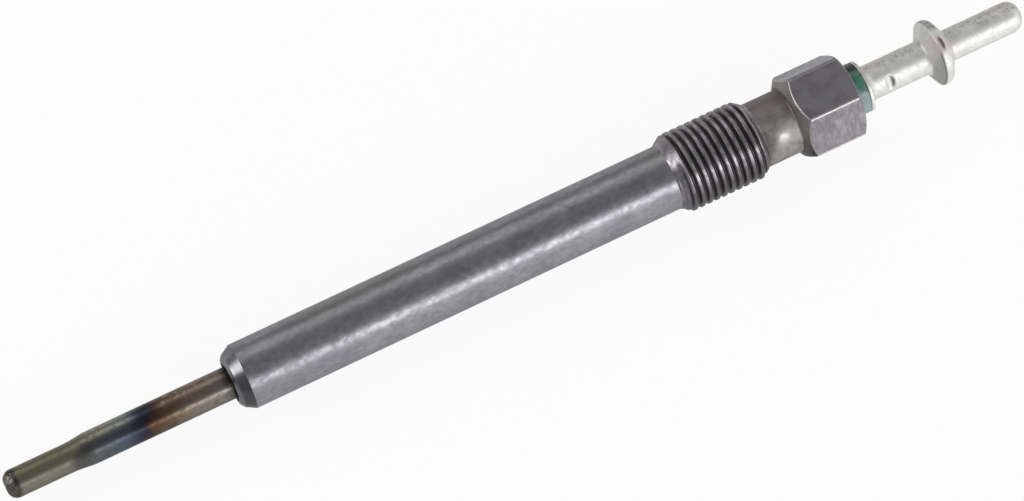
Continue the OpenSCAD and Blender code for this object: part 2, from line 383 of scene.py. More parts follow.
def heater_piece():
    """The closed heater tube with its thinner round tip."""
    bore_r = TUBE_R - TUBE_WALL
    tip_bore_r = TIP_R - TUBE_WALL
    rows = rounded([
        (TIP_X, 0, EDGE),
        (TIP_X, TIP_R, TIP_ROUND),
        (TAPER_FROM_X, TIP_R, TAPER_ROUND),
        (TAPER_TO_X, TUBE_R, TAPER_ROUND),
        (TUBE_END_X, TUBE_R, EDGE),
        (TUBE_END_X, bore_r, EDGE),
        (TAPER_TO_X, bore_r, EDGE),
        (TAPER_FROM_X, tip_bore_r, EDGE),
        (TIP_FLOOR_X, tip_bore_r, EDGE),
        (TIP_FLOOR_X, 0, EDGE),
    ])
    stand_for(lathe("sheath", rows, ring=False), "heater_tube", "heater_sheath", heater_sheath())


def bush_piece():
    """The insulating bush: a visible head and a spigot inside the shell."""
    rows = rounded([
        (BUSH_LOW.x, BUSH_BORE_R, EDGE),
        (BUSH_LOW.x, BUSH_SPIGOT_R, EDGE),
        (BUSH_HEAD_X, BUSH_SPIGOT_R, EDGE),
        (BUSH_HEAD_X, BUSH_HEAD_R, EDGE),
        (BUSH_HIGH.x, BUSH_HEAD_R, BUSH_EDGE),
        (BUSH_HIGH.x, BUSH_BORE_R, EDGE),
        (BUSH_LOW.x, BUSH_BORE_R, EDGE),
    ])
    stand_for(lathe("bush", rows[:-1], ring=True), "insulating_bush", "green_plastic", green_plastic())


def crimped(row):
    """A row of the sleeve, pushed in where the crimping balls met it."""
    x, r = row
    reach = SLEEVE_R - CRIMP_DEPTH + CRIMP_BALL_R
    for angle in CRIMP_ANGLES:
        off = ANGLES - math.radians(angle)
        inside = CRIMP_BALL_R ** 2 - (x - CRIMP_X) ** 2 - (reach * np.sin(off) / CRIMP_STRETCH) ** 2
        facing = (np.cos(off) > 0) & (inside > 0)
        ball = np.where(facing, reach * np.cos(off) - np.sqrt(np.maximum(inside, 0)), r + 2 * CRIMP_LIP)
        blend = np.maximum(CRIMP_LIP - np.abs(r - ball), 0) / CRIMP_LIP
        r = np.minimum(r, ball) - blend ** 2 * CRIMP_LIP / 4
    return np.stack([x, r])


def terminal_piece():
    """The terminal: foot, crimped sleeve, collar and round-ended pin, with a blind bore for the rod."""
    sleeve_from = FOOT_X + FOOT_THICK + FOOT_HOLLOW
    crimp_from = CRIMP_X - CRIMP_BALL_R
    crimp_to = CRIMP_X + CRIMP_BALL_R
    foot = rounded([
        (CAP_BORE_END_X, 0, EDGE),
        (CAP_BORE_END_X, CAP_BORE_R, EDGE),
        (FOOT_X, CAP_BORE_R, EDGE),
        (FOOT_X, FOOT_R, SOFT_EDGE),
        (FOOT_X + FOOT_THICK, FOOT_R, SOFT_EDGE),
        (FOOT_X + FOOT_THICK, SLEEVE_R, FOOT_HOLLOW),
        (max(crimp_from, sleeve_from + EDGE), SLEEVE_R, EDGE),
    ])
    count = round((crimp_to - crimp_from) / FINE_ROW)
    sleeve = [crimped(point(x, SLEEVE_R)) for x in np.linspace(crimp_from, crimp_to, count + 1)[1:]]
    pin = rounded([
        (crimp_to, SLEEVE_R, EDGE),
        (COLLAR_FROM_X, SLEEVE_R, COLLAR_FOOT_ROUND),
        (COLLAR_FRONT_X, COLLAR_R, COLLAR_FRONT_ROUND),
        (COLLAR_BACK_X, COLLAR_R, COLLAR_BACK_ROUND),
        (COLLAR_TO_X, PIN_R, SOFT_EDGE),
        (PIN_END_X, PIN_R, PIN_ROUND),
        (PIN_END_X, 0, EDGE),
    ])
    piece = lathe("terminal", foot + sleeve + pin[1:], ring=False)
    stand_for(piece, "terminal_cap", "tinned_steel", tinned_steel())


# Colours, linear RGB
GROUND_STEEL = (0.345, 0.34, 0.365)
LILAC_STEEL = (0.26, 0.25, 0.295)
OLIVE_SHADE_STEEL = (0.27, 0.27, 0.26)
SHANK_DARK = (0.225, 0.22, 0.24)
SHANK_PALE = (0.42, 0.415, 0.44)
SEAT_STEEL = (0.30, 0.295, 0.315)
SEAT_SOOT_AND_SHADE = (0.065, 0.063, 0.069)
BORE_SHADE_STEEL = (0.03, 0.028, 0.028)
SOOT = (0.05, 0.05, 0.053)
THREAD_CREST = (0.43, 0.415, 0.435)
THREAD_ROOT_SHADE = (0.10, 0.091, 0.098)
THREAD_WORN = (0.18, 0.155, 0.163)
THREAD_STAIN = (0.215, 0.198, 0.212)
THREAD_BLUE = (0.15, 0.146, 0.18)
NECK_GREY = (0.41, 0.40, 0.375)
NECK_BROWN_SHADE = (0.225, 0.18, 0.188)
NECK_HIGHLIGHT = (0.53, 0.51, 0.49)
RUST_BROWN = (0.15, 0.105, 0.10)
HEX_GREY = (0.35, 0.34, 0.36)
HEX_LILAC = (0.235, 0.21, 0.24)
HEX_PALE = (0.47, 0.44, 0.46)
HEX_EDGE_HIGHLIGHT = (0.62, 0.60, 0.61)
HEX_LINE = (0.12, 0.115, 0.12)
CONE_BEIGE = (0.34, 0.312, 0.29)
CONE_WARM = (0.39, 0.335, 0.335)
CONE_BROWN = (0.25, 0.208, 0.217)
CONE_SHADE = (0.13, 0.117, 0.105)
CONE_BLACK_SHADE = (0.045, 0.043, 0.038)
TIN = (0.86, 0.86, 0.825)
TIN_DULL = (0.72, 0.72, 0.68)
TIN_OLIVE_SHADE = (0.68, 0.685, 0.63)
TIN_WARM_SHADE = (0.71, 0.65, 0.62)
TIN_DIRT_AND_SHADE = (0.33, 0.33, 0.30)
TIN_PINK = (0.79, 0.65, 0.63)
TIN_GRIME_AND_SHADE = (0.50, 0.49, 0.475)
CRIMP_DENT_DARK = (0.17, 0.17, 0.155)
NICK_DARK = (0.075, 0.062, 0.06)
GREEN = (0.085, 0.245, 0.18)
GREEN_DARK_AND_SHADE = (0.012, 0.022, 0.018)
GREEN_LIT = (0.34, 0.47, 0.46)
PALE_OLIVE = (0.31, 0.30, 0.23)
PALE_BLUE = (0.29, 0.325, 0.30)
TIP_OLIVE = (0.215, 0.20, 0.125)
TIP_SPECK = (0.42, 0.40, 0.35)
PINK_SPECK = (0.40, 0.33, 0.28)
WARM_BROWN = (0.225, 0.16, 0.11)

# Heat colours of the sheath, with painted shade in the last stops towards the mouth: millimetres from its
# tip and linear RGB
HEAT_COLOURS_AND_SHADE = (
    (0.0, (0.13, 0.12, 0.10)),
    (0.7, (0.13, 0.12, 0.10)),
    (1.1, (0.065, 0.06, 0.052)),
    (1.4, (0.08, 0.075, 0.062)),
    (1.9, (0.215, 0.20, 0.162)),
    (8.0, (0.215, 0.20, 0.162)),
    (8.7, (0.11, 0.107, 0.102)),
    (10.2, (0.11, 0.112, 0.11)),
    (10.7, (0.117, 0.132, 0.142)),
    (13.1, (0.106, 0.128, 0.149)),
    (15.0, (0.079, 0.10, 0.135)),
    (16.6, (0.043, 0.045, 0.068)),
    (17.6, (0.041, 0.037, 0.054)),
    (18.3, (0.108, 0.058, 0.036)),
    (20.4, (0.147, 0.096, 0.061)),
    (22.6, (0.228, 0.186, 0.149)),
    (27.2, (0.245, 0.222, 0.197)),
    # Painted shade towards the mouth
    (27.9, (0.12, 0.112, 0.10)),
    (28.5, (0.02, 0.019, 0.018)),
)

# Colours across the part: place along Y and colour, for the hexagon's front cone, with painted shade on
# its lower side, and for the bush, with painted light below and painted shade above
CONE_STAINS_AND_SHADE = (
    (-4.2, CONE_BLACK_SHADE),
    (-3.2, CONE_SHADE),
    (-0.8, CONE_WARM),
    (0.8, CONE_WARM),
    (2.4, CONE_BROWN),
    (4.0, CONE_BEIGE),
)
BUSH_LIGHT_AND_SHADE = ((-1.7, GREEN_LIT), (-0.7, GREEN), (0.9, GREEN), (2.2, GREEN_DARK_AND_SHADE))

# Worn metals: base and stain colour, stains per mm, range of roughness, grain per mm along X and across,
# and height of the bump
NECK_ROUGHNESS = (0.5, 0.38)
METALS = {
    "shaded_bore_steel": (BORE_SHADE_STEEL, SOOT, 0.4, (0.5, 0.6), (3.0, 0.5), 0.005),
    "seat_steel": (SEAT_STEEL, LILAC_STEEL, 0.5, (0.22, 0.32), (4.0, 0.5), 0.004),
    "shank_steel": (GROUND_STEEL, LILAC_STEEL, 0.22, (0.29, 0.41), (1.6, 2.0), 0.018),
    "thread_steel": (THREAD_CREST, THREAD_STAIN, 0.5, (0.30, 0.42), (2.5, 1.2), 0.004),
    "neck_steel": (NECK_GREY, NECK_BROWN_SHADE, 0.5, NECK_ROUGHNESS, (1.8, 1.8), 0.008),
    "hexagon_steel": (HEX_GREY, HEX_LILAC, 0.45, (0.3, 0.42), (1.5, 1.5), 0.008),
    "tinned_steel": (TIN, TIN_DULL, 0.9, (0.47, 0.61), (2.6, 2.6), 0.01),
    "heating_wire": ((0.20, 0.17, 0.15), (0.07, 0.06, 0.06), 2.0, (0.3, 0.45), (6.0, 1.0), 0.004),
    "control_wire": ((0.42, 0.40, 0.37), (0.22, 0.19, 0.16), 1.5, (0.3, 0.45), (6.0, 1.0), 0.004),
    "rod_steel": ((0.42, 0.42, 0.43), (0.26, 0.25, 0.25), 0.4, (0.3, 0.45), (6.0, 1.0), 0.004),
}

# Powder and rubber: base colour, shade and roughness
MATTES = {
    "magnesia": ((0.72, 0.70, 0.66), (0.55, 0.53, 0.50), 0.9),
    "red_rubber": ((0.24, 0.045, 0.035), (0.15, 0.025, 0.02), 0.6),
    "black_rubber": ((0.022, 0.022, 0.023), (0.012, 0.012, 0.012), 0.5),
}
MATTE_SPREAD = 0.1

# Inner pieces, which keep their CAD shapes: node and material
INNER_METALS = {
    "heating_coil": "heating_wire",
    "control_coil": "control_wire",
    "connecting_rod": "rod_steel",
}
INNER_MATTES = {
    "magnesia_filling": "magnesia",
    "tube_seal": "red_rubber",
    "ring_seal": "black_rubber",
}


# Zones of colour and wear: where a change starts and where it is complete, as places along X, Y or Z, or
# as radii R. Upper means towards +Y and lower towards -Y, as the photo shows them.


def zone_from(place, start, end):
    """A zone given from a place."""
    return place + start, place + end


# Zones of the seat and the shank
# Faces of the mouth inside this radius take the painted shade of the bore steel.
MOUTH_SHADE_R = 2.5
# Painted shade with soot on the seat cone, on its lower and upper sides
SEAT_LOWER_SHADE_Y = (0.6, -0.4)
SEAT_LOWEST_SHADE_Y = (-0.4, -2.4)
SEAT_UPPER_SHADE_Y = (2.0, 4.0)
SEAT_CONE_R = zone_from(NOSE_R, -0.15, 0.15)
SHANK_OLIVE_SHADE_Y = (-1.0, 2.5)

# Zones of the thread
THREAD_LIGHT_R = zone_from(CREST_R - THREAD_DEPTH, 0.08, 0.34)
THREAD_LOWEST_SHADE_Y = (-3.5, -4.7)
LEAD_PLAIN_X = zone_from(LEAD_END_X, -0.1, -0.5)
TAIL_PLAIN_X = zone_from(CREST_END_X, 0.5, 0.9)
BLUE_STARTS_X = zone_from(SHANK_END_X, 0.15, 0.45)
BLUE_ENDS_X = zone_from(LEAD_END_X, 0.0, -0.3)
BLUE_Y = (-1.5, -2.3)

# Zones of the neck, with the middle and the half size in X and Y of a glossy spot with a painted highlight
NECK_SHADED_UPPER_Y = (-0.8, 2.8)
NECK_RUST_X = zone_from(HEX_FROM_X, -0.6, 1.2)
NECK_HIGHLIGHT_SPOT = (71.8, -2.8)
NECK_HIGHLIGHT_HALF = (1.0, 0.65)

# Zones of the hexagon. Those without a letter are distances, along X from the surface of its front cone.
HEX_WORN_Y = (-2.6, -3.2)
# Painted highlight on the long edges
HEX_HIGHLIGHT_R = (HEX_APOTHEM * 1.115, HEX_APOTHEM * 1.13)
HEX_HIGHLIGHT_Y = (2.8, 2.4)
HEX_LINE_Y = 3.1
HEX_LINE_HALF = (0.38, 0.24)
HEX_LINE_Z = (0.0, 1.0)
# Painted highlight on the front edges of the flats
FRONT_HIGHLIGHT_STARTS = (0.03, 0.07)
FRONT_HIGHLIGHT_ENDS = (0.22, 0.14)
FRONT_HIGHLIGHT_Y = (-3.2, -2.6)
CONE_ENDS = (0.05, 0.02)
# Painted shade at the cone's foot
CONE_FOOT_SHADE_R = zone_from(NECK_R, 0.35, 0.1)
CONE_FOOT_SHADE_Y = (-2.0, 0.0)

# Zones of the heater. Those without a letter are distances from its tip.
HEATER_UPPER_Y = (-0.5, 0.9)
DOME_ENDS = (1.3, 0.9)
DOME_SPECK_Y = (-0.9, 0.1)
TIP_ENDS = (10.5, 8.0)
TIP_OLIVE_Y = (-1.4, 0.2)
TIP_OLIVE_STARTS = (1.6, 2.2)
HEAT_WAVE = 0.35
HEAT_LATER_BY = 1.1
HEAT_LATER_Y = (-1.4, 0.6)
HEAT_LATER_STARTS = (2.5, 6.0)
HEAT_LATER_ENDS = (26.0, 22.0)
FILM_STARTS = (8.0, 11.5)
FILM_BLUE_STARTS = (12.0, 15.0)
FILM_ENDS = (16.8, 14.6)
BROWN_STARTS = (18.8, 21.0)
BROWN_ENDS = (28.4, 26.0)
BROWN_Y = (-1.2, 0.6)

# Zones of the terminal, with the middle and the half size in X and Y of a nick in the collar's rim
TIN_SHADED_UPPER_Y = (0.8, 1.6)
PIN_TIP_X = zone_from(PIN_END_X, -3.0, -1.0)
COLLAR_STARTS_R = zone_from(SLEEVE_R, 0.1, 0.4)
COLLAR_STARTS_X = zone_from(COLLAR_FROM_X, -0.2, 0.0)
COLLAR_FACE_X = zone_from(COLLAR_FRONT_X, 0.0, -0.2)
COLLAR_RIM_X = zone_from(COLLAR_FRONT_X, -0.1, 0.1)
COLLAR_EDGE_X = COLLAR_FRONT_X - 0.08
COLLAR_EDGE_HALF = (0.12, 0.05)
FACE_GRIME_AND_SHADE_Y = (0.2, -1.5)
GRIME_RIM_Y = (1.9, 2.9)
FACE_LOWEST_SHADE_Y = (-0.8, -2.8)
COLLAR_EDGE_SHADE_Y = (0.3, -0.7)
RED_STARTS_X = zone_from(COLLAR_FRONT_X, -1.2, -0.4)
RED_ENDS_X = zone_from(COLLAR_TO_X, 0.6, 0.0)
RED_STARTS_Y = (-0.9, 0.1)
RED_ENDS_Y = (2.0, 0.9)
RED_Z = (0.0, 0.5)
NICK = (94.45, -0.7)
NICK_HALF = (0.3, 0.95)
NICK_Z = (3.0, 3.4)
CRIMP_DENT_R = zone_from(SLEEVE_R, -0.05, -0.2)
CRIMP_DENT_X = zone_from(CRIMP_X, -0.1, 0.5)
CRIMP_ENDS_X = zone_from(CRIMP_X, 1.1, 1.0)

# Shares: all of a share, where most of a noise lies, and how a metal's stains and grain colour it
WHOLE = (0.0, 1.0)
MOST_NOISE = (0.3, 0.7)
STAIN_NOISE = (0.38, 0.68)
STAIN_SHARE = 0.7
GRAIN_NOISE = (0.4, 0.7)
GRAIN_SHARE = 0.45


# Node trees


def colour(value):
    """Linear RGB as RGBA. Sockets pass unchanged."""
    return (*value, 1.0) if isinstance(value, tuple) else value


class Nodes:
    """A node tree under construction. Inputs are sockets to link, or plain values to set."""

    def __init__(self, tree):
        self.tree = tree

    def put(self, socket, value):
        """Links an input to a socket, or sets it to a plain value."""
        if isinstance(value, bpy.types.NodeSocket):
            self.tree.links.new(value, socket)
        else:
            socket.default_value = value

    def add(self, kind, inputs=None, **settings):
        """A new node with its settings and its inputs, which go by name or number."""
        node = self.tree.nodes.new(kind)
        for name, value in settings.items():
            setattr(node, name, value)
        for name, value in (inputs or {}).items():
            self.put(node.inputs[name], value)
        return node

    def math(self, operation, a, b=0.0):
        """A math node on two sockets or numbers."""
        return self.add("ShaderNodeMath", {0: a, 1: b}, operation=operation).outputs[0]

    def plus(self, a, b):
        """The sum of two values."""
        return self.math("ADD", a, b)

    def minus(self, a, b):
        """The difference of two values."""
        return self.math("SUBTRACT", a, b)

    def times(self, a, b):
        """The product of two values."""
        return self.math("MULTIPLY", a, b)

    def larger(self, a, b):
        """The larger of two values."""
        return self.math("MAXIMUM", a, b)

    def off(self, value, centre):
        """How far a value lies from a centre."""
        return self.math("ABSOLUTE", self.minus(value, centre))

    def mapped(self, value, zone, to, kind):
        """A value mapped from a zone to another pair of bounds, and held at their ends."""
        bounds = {"From Min": zone[0], "From Max": zone[1], "To Min": to[0], "To Max": to[1]}
        inputs = {"Value": value, **bounds}
        return self.add("ShaderNodeMapRange", inputs, interpolation_type=kind).outputs["Result"]

    def span(self, value, zone, to=WHOLE):
        """A value mapped with a soft start and end."""
        return self.mapped(value, zone, to, "SMOOTHSTEP")

    def linear(self, value, zone, to=WHOLE):
        """A value mapped evenly."""
        return self.mapped(value, zone, to, "LINEAR")


class Surface(Nodes):
    """A material with one shader, painted by place on the part in millimetres."""

    def __init__(self, name):
        self.material = bpy.data.materials.new(name)
        self.material.use_nodes = True
        super().__init__(self.material.node_tree)
        self.shader = self.tree.nodes["Principled BSDF"]
        coordinates = self.add("ShaderNodeTexCoord").outputs["Object"]
        self.place = self.scaled(coordinates, (TO_MM, TO_MM, TO_MM))
        self.x, self.y, self.z = self.add("ShaderNodeSeparateXYZ", {"Vector": self.place}).outputs

    def set(self, **inputs):
        """Sets or links inputs of the shader; an underscore in a name stands for a space."""
        for name, value in inputs.items():
            self.put(self.shader.inputs[name.replace("_", " ")], value)

    def scaled(self, vector, factors):
        """A vector times a factor for each axis."""
        return self.add("ShaderNodeVectorMath", {0: vector, 1: factors}, operation="MULTIPLY").outputs[0]

    def radius(self):
        """Distance from the axis."""
        squared = self.plus(self.times(self.y, self.y), self.times(self.z, self.z))
        return self.math("SQRT", squared)

    def spot(self, centre, half):
        """Squared distance from a spot in X and Y: 0 at its centre and 1 on its oval edge."""
        shares = [self.math("DIVIDE", self.minus(value, middle), reach)
                  for value, middle, reach in zip((self.x, self.y), centre, half)]
        return self.plus(*(self.times(share, share) for share in shares))

    def noise(self, per_mm, detail=3.0, across=None, distortion=0.0):
        """Noise with so many features a millimetre along X, and another count across if one is given."""
        across = per_mm if across is None else across
        vector = self.scaled(self.place, (per_mm, across, across))
        inputs = {"Vector": vector, "Scale": 1.0, "Detail": detail, "Distortion": distortion}
        return self.add("ShaderNodeTexNoise", inputs).outputs["Fac"]

    def uneven(self, value, per_mm, reach, detail=3.0):
        """A value raised by noise, by a reach where the noise is 1."""
        return self.plus(value, self.times(self.noise(per_mm, detail), reach))

    def mix(self, share, a, b):
        """Colour a where the share is 0, and colour b where it is 1."""
        inputs = {0: share, 6: colour(a), 7: colour(b)}
        return self.add("ShaderNodeMix", inputs, data_type="RGBA").outputs[2]

    def ramp(self, value, stops):
        """A colour ramp over stops of (value, colour)."""
        low, high = stops[0][0], stops[-1][0]
        node = self.add("ShaderNodeValToRGB", {"Fac": self.linear(value, (low, high))})
        elements = node.color_ramp.elements
        while len(elements) < len(stops):
            elements.new(0.5)
        for element, (at, rgb) in zip(elements, stops):
            element.position = (at - low) / (high - low)
            element.color = colour(rgb)
        return node.outputs["Color"]

    def bump(self, height_mm, height):
        """A bump of so many millimetres, from a height of 0 to 1."""
        inputs = {"Strength": 1.0, "Distance": height_mm * MM, "Height": height}
        self.set(Normal=self.add("ShaderNodeBump", inputs).outputs["Normal"])


# Materials


def metal(name):
    """A worn metal of the table and its tone: soft stains, fine grain, uneven gloss and a slight bump."""
    base, stain, stain_per_mm, roughness, (along, across), height = METALS[name]
    s = Surface(name)
    stains = s.span(s.noise(stain_per_mm, 5.0), STAIN_NOISE)
    grain = s.noise(along, 4.0, across)
    tone = s.mix(s.times(stains, STAIN_SHARE), base, stain)
    tone = s.mix(s.span(grain, GRAIN_NOISE, (0.0, GRAIN_SHARE)), tone, stain)
    s.set(Base_Color=tone, Metallic=1.0, Roughness=s.span(grain, MOST_NOISE, roughness))
    s.bump(height, grain)
    return s, tone


def shaded_bore_steel():
    """Steel of the bores and the mouth, dull and nearly black: painted shade in the recess."""
    s, _ = metal("shaded_bore_steel")
    return s.material


def seat_steel():
    """Steel with soot and painted shade on both sides of the cone, most on the lower one, and less on the
    front face.
    """
    s, tone = metal("seat_steel")
    # Soot and painted shade: darker below and above the middle of the cone, where the highlight falls.
    around = s.uneven(s.y, 0.8, 1.2)
    below = s.plus(s.span(around, SEAT_LOWER_SHADE_Y, (0.0, 0.45)), s.span(around, SEAT_LOWEST_SHADE_Y, (0.0, 0.5)))
    soot_and_shade = s.larger(below, s.span(around, SEAT_UPPER_SHADE_Y, (0.0, 0.5)))
    on_cone = s.span(s.radius(), SEAT_CONE_R, (0.3, 1.0))
    s.set(Base_Color=s.mix(s.times(soot_and_shade, on_cone), tone, SEAT_SOOT_AND_SHADE))
    return s.material


def shank_steel():
    """Ground steel, mottled all over, with an olive tint and painted shade in places on its upper side."""
    s, tone = metal("shank_steel")
    mottled = s.noise(1.0, 6.0, across=1.5)
    tone = s.mix(s.span(mottled, (0.5, 0.66), (0.0, 0.45)), tone, SHANK_DARK)
    tone = s.mix(s.span(mottled, (0.5, 0.36), (0.0, 0.3)), tone, SHANK_PALE)
    # Olive tint with painted shade: the upper side darker in places.
    olive = s.times(s.span(s.y, SHANK_OLIVE_SHADE_Y), s.span(s.noise(0.15), (0.35, 0.65)))
    s.set(Base_Color=s.mix(s.times(olive, 0.75), tone, OLIVE_SHADE_STEEL))
    return s.material


def thread_steel():
    """Light worn crests, painted shade in the roots and on the lowest side, plain cones and a bluish lower
    run-in.
    """
    s, tone = metal("thread_steel")
    worn = s.span(s.noise(1.6, 6.0, across=1.1), (0.46, 0.66), (0.0, 0.75))
    tone = s.mix(worn, tone, THREAD_WORN)
    # Painted shade darkens the lowest side.
    tone = s.mix(s.span(s.y, THREAD_LOWEST_SHADE_Y, (0.0, 0.8)), tone, THREAD_ROOT_SHADE)
    run_in = s.times(s.span(s.x, BLUE_STARTS_X), s.span(s.x, BLUE_ENDS_X))
    tone = s.mix(s.times(run_in, s.span(s.y, BLUE_Y, (0.0, 0.65))), tone, THREAD_BLUE)
    # Painted shade in the roots: only the crests and the plain cones keep the tone.
    crest = s.span(s.uneven(s.radius(), 1.2, 0.12), THREAD_LIGHT_R)
    cones = s.larger(s.span(s.x, LEAD_PLAIN_X), s.span(s.x, TAIL_PLAIN_X))
    s.set(Base_Color=s.mix(s.larger(crest, cones), THREAD_ROOT_SHADE, tone))
    return s.material


def neck_steel():
    """Grey below, brown with painted shade above and towards the hexagon, and a glossy spot with a painted
    highlight.
    """
    s, tone = metal("neck_steel")
    shift = s.times(s.noise(0.6), 2.4)
    # Brown with painted shade on the upper side, and rust brown towards the hexagon on that side.
    upper = s.span(s.plus(s.y, shift), NECK_SHADED_UPPER_Y, (0.0, 0.85))
    near_hexagon = s.span(s.plus(s.x, shift), NECK_RUST_X)
    tone = s.mix(upper, tone, NECK_BROWN_SHADE)
    tone = s.mix(s.times(near_hexagon, upper), tone, RUST_BROWN)
    # A glossy spot: a painted highlight in the base colour, and a lower roughness.
    highlight_spot = s.span(s.spot(NECK_HIGHLIGHT_SPOT, NECK_HIGHLIGHT_HALF), (1.0, 0.0))
    s.set(Base_Color=s.mix(s.times(highlight_spot, 0.6), tone, NECK_HIGHLIGHT))
    s.set(Roughness=s.span(highlight_spot, WHOLE, NECK_ROUGHNESS))
    return s.material


def hexagon_steel():
    """Flats with worn strokes, painted highlights on their edges, and a front cone in its own colours with
    painted shade.
    """
    s, tone = metal("hexagon_steel")
    radius = s.radius()
    cone_x = s.plus(s.times(radius, HEX_FRONT_BEVEL), HEX_FROM_X - NECK_R * HEX_FRONT_BEVEL)
    off_cone = s.minus(s.x, cone_x)
    tone = hexagon_edges(s, hexagon_strokes(s, tone), radius, off_cone)
    s.set(Base_Color=s.mix(s.span(off_cone, CONE_ENDS), tone, hexagon_cone(s, radius)))
    return s.material


def hexagon_strokes(s, tone):
    """Lilac and pale strokes on the worn side."""
    worn_side = s.span(s.y, HEX_WORN_Y, (0.0, 0.6))
    strokes = s.noise(1.3, 5.0, across=0.5, distortion=1.2)
    tone = s.mix(s.times(s.span(strokes, (0.44, 0.70)), worn_side), tone, HEX_LILAC)
    return s.mix(s.times(s.span(strokes, (0.52, 0.32)), worn_side), tone, HEX_PALE)


def hexagon_edges(s, tone, radius, off_cone):
    """Painted highlights along ragged edges, and a dark line beside one long edge."""
    ragged = s.times(s.noise(2.0), 0.12)
    # Painted highlight along the long edges, faint on the uppermost side.
    edge_highlight = s.span(s.minus(radius, ragged), HEX_HIGHLIGHT_R)
    tone = s.mix(s.times(edge_highlight, s.span(s.y, HEX_HIGHLIGHT_Y, (0.15, 1.0))), tone, HEX_EDGE_HIGHLIGHT)
    line = s.span(s.plus(s.off(s.y, HEX_LINE_Y), ragged), HEX_LINE_HALF)
    tone = s.mix(s.times(line, s.span(s.z, HEX_LINE_Z)), tone, HEX_LINE)
    # Painted highlight along the front edges of the flats, except on the lowest side.
    front_ends = s.span(s.plus(off_cone, ragged), FRONT_HIGHLIGHT_ENDS)
    front_highlight = s.times(s.span(off_cone, FRONT_HIGHLIGHT_STARTS), front_ends)
    return s.mix(s.times(front_highlight, s.span(s.y, FRONT_HIGHLIGHT_Y)), tone, HEX_EDGE_HIGHLIGHT)


def hexagon_cone(s, radius):
    """Colours of the front cone across the part, with painted shade on its lower side, and a black painted
    shade at its foot.
    """
    cone = s.ramp(s.uneven(s.y, 0.7, 2.0), CONE_STAINS_AND_SHADE)
    # Painted shade in the corner where the cone meets the neck.
    foot = s.times(s.span(radius, CONE_FOOT_SHADE_R), s.span(s.y, CONE_FOOT_SHADE_Y, (0.2, 0.7)))
    return s.mix(foot, cone, CONE_BLACK_SHADE)


def heater_sheath():
    """Heat colours along the tube with soot and specks, duller towards the tip, and painted shade towards
    the mouth.
    """
    s = Surface("heater_sheath")
    from_tip = s.minus(s.x, TIP_X)
    tip = s.span(from_tip, TIP_ENDS)
    dome = s.span(from_tip, DOME_ENDS)
    tone = heat_colours(s, from_tip, tip)
    grain = s.noise(1.8, 5.0, across=2.4)
    soot = s.times(s.span(grain, (0.45, 0.75), (0.0, 0.5)), s.span(tip, WHOLE, (1.0, 0.5)))
    tone = s.mix(soot, tone, SOOT)
    s.set(Base_Color=heater_specks(s, tone, from_tip, dome), Metallic=1.0)
    duller = s.plus(s.times(tip, 0.08), s.times(dome, 0.15))
    s.set(Roughness=s.plus(s.span(grain, MOST_NOISE, (0.27, 0.37)), duller))
    s.bump(0.006, grain)
    return s.material


def heat_colours(s, from_tip, tip):
    """Heat colours that come later on the upper side, under an olive tip and a pale film there."""
    wavy = s.plus(from_tip, s.span(s.noise(0.5, 4.0), MOST_NOISE, (-HEAT_WAVE, HEAT_WAVE)))
    later = s.times(s.span(s.y, HEAT_LATER_Y, (0.0, -HEAT_LATER_BY)), s.span(from_tip, HEAT_LATER_STARTS))
    later = s.times(later, s.span(from_tip, HEAT_LATER_ENDS))
    tone = s.ramp(s.plus(wavy, later), HEAT_COLOURS_AND_SHADE)
    olive = s.times(tip, s.span(from_tip, TIP_OLIVE_STARTS, (0.0, 0.7)))
    tone = s.mix(s.times(s.span(s.y, TIP_OLIVE_Y), olive), tone, TIP_OLIVE)
    film = s.times(s.span(from_tip, FILM_STARTS), s.span(wavy, FILM_ENDS))
    film_colour = s.mix(s.span(from_tip, FILM_BLUE_STARTS), PALE_OLIVE, PALE_BLUE)
    return s.mix(s.times(s.span(s.y, HEATER_UPPER_Y), film), tone, film_colour)


def heater_specks(s, tone, from_tip, dome):
    """Pale specks on the tip's dome, and warm and pink patches on the brown stretch."""
    specks = s.times(s.span(s.noise(3.2, 6.0), (0.42, 0.66)), s.span(s.y, DOME_SPECK_Y))
    tone = s.mix(s.times(dome, specks), tone, TIP_SPECK)
    brown = s.times(s.span(from_tip, BROWN_STARTS), s.span(from_tip, BROWN_ENDS))
    tone = s.mix(s.times(brown, s.span(s.y, BROWN_Y, (0.0, 0.5))), tone, WARM_BROWN)
    patches = s.times(s.span(s.noise(1.5), (0.48, 0.7), (0.0, 0.7)), s.span(s.y, HEATER_UPPER_Y))
    return s.mix(s.times(brown, patches), tone, PINK_SPECK)


def green_plastic():
    """Glossy cloudy green, with painted light on its lower side and painted shade on the upper one."""
    s = Surface("green_plastic")
    cloudy = s.noise(0.9, 4.0)
    # Painted light on the lower side and painted shade on the upper side, across the part.
    tone = s.ramp(s.plus(s.y, s.times(cloudy, 0.8)), BUSH_LIGHT_AND_SHADE)
    s.set(Base_Color=s.mix(s.span(cloudy, (0.45, 0.7), (0.0, 0.5)), tone, GREEN_DARK_AND_SHADE))
    s.set(Roughness=s.span(cloudy, MOST_NOISE, (0.18, 0.3)))
    s.bump(0.004, s.noise(3.0))
    return s.material


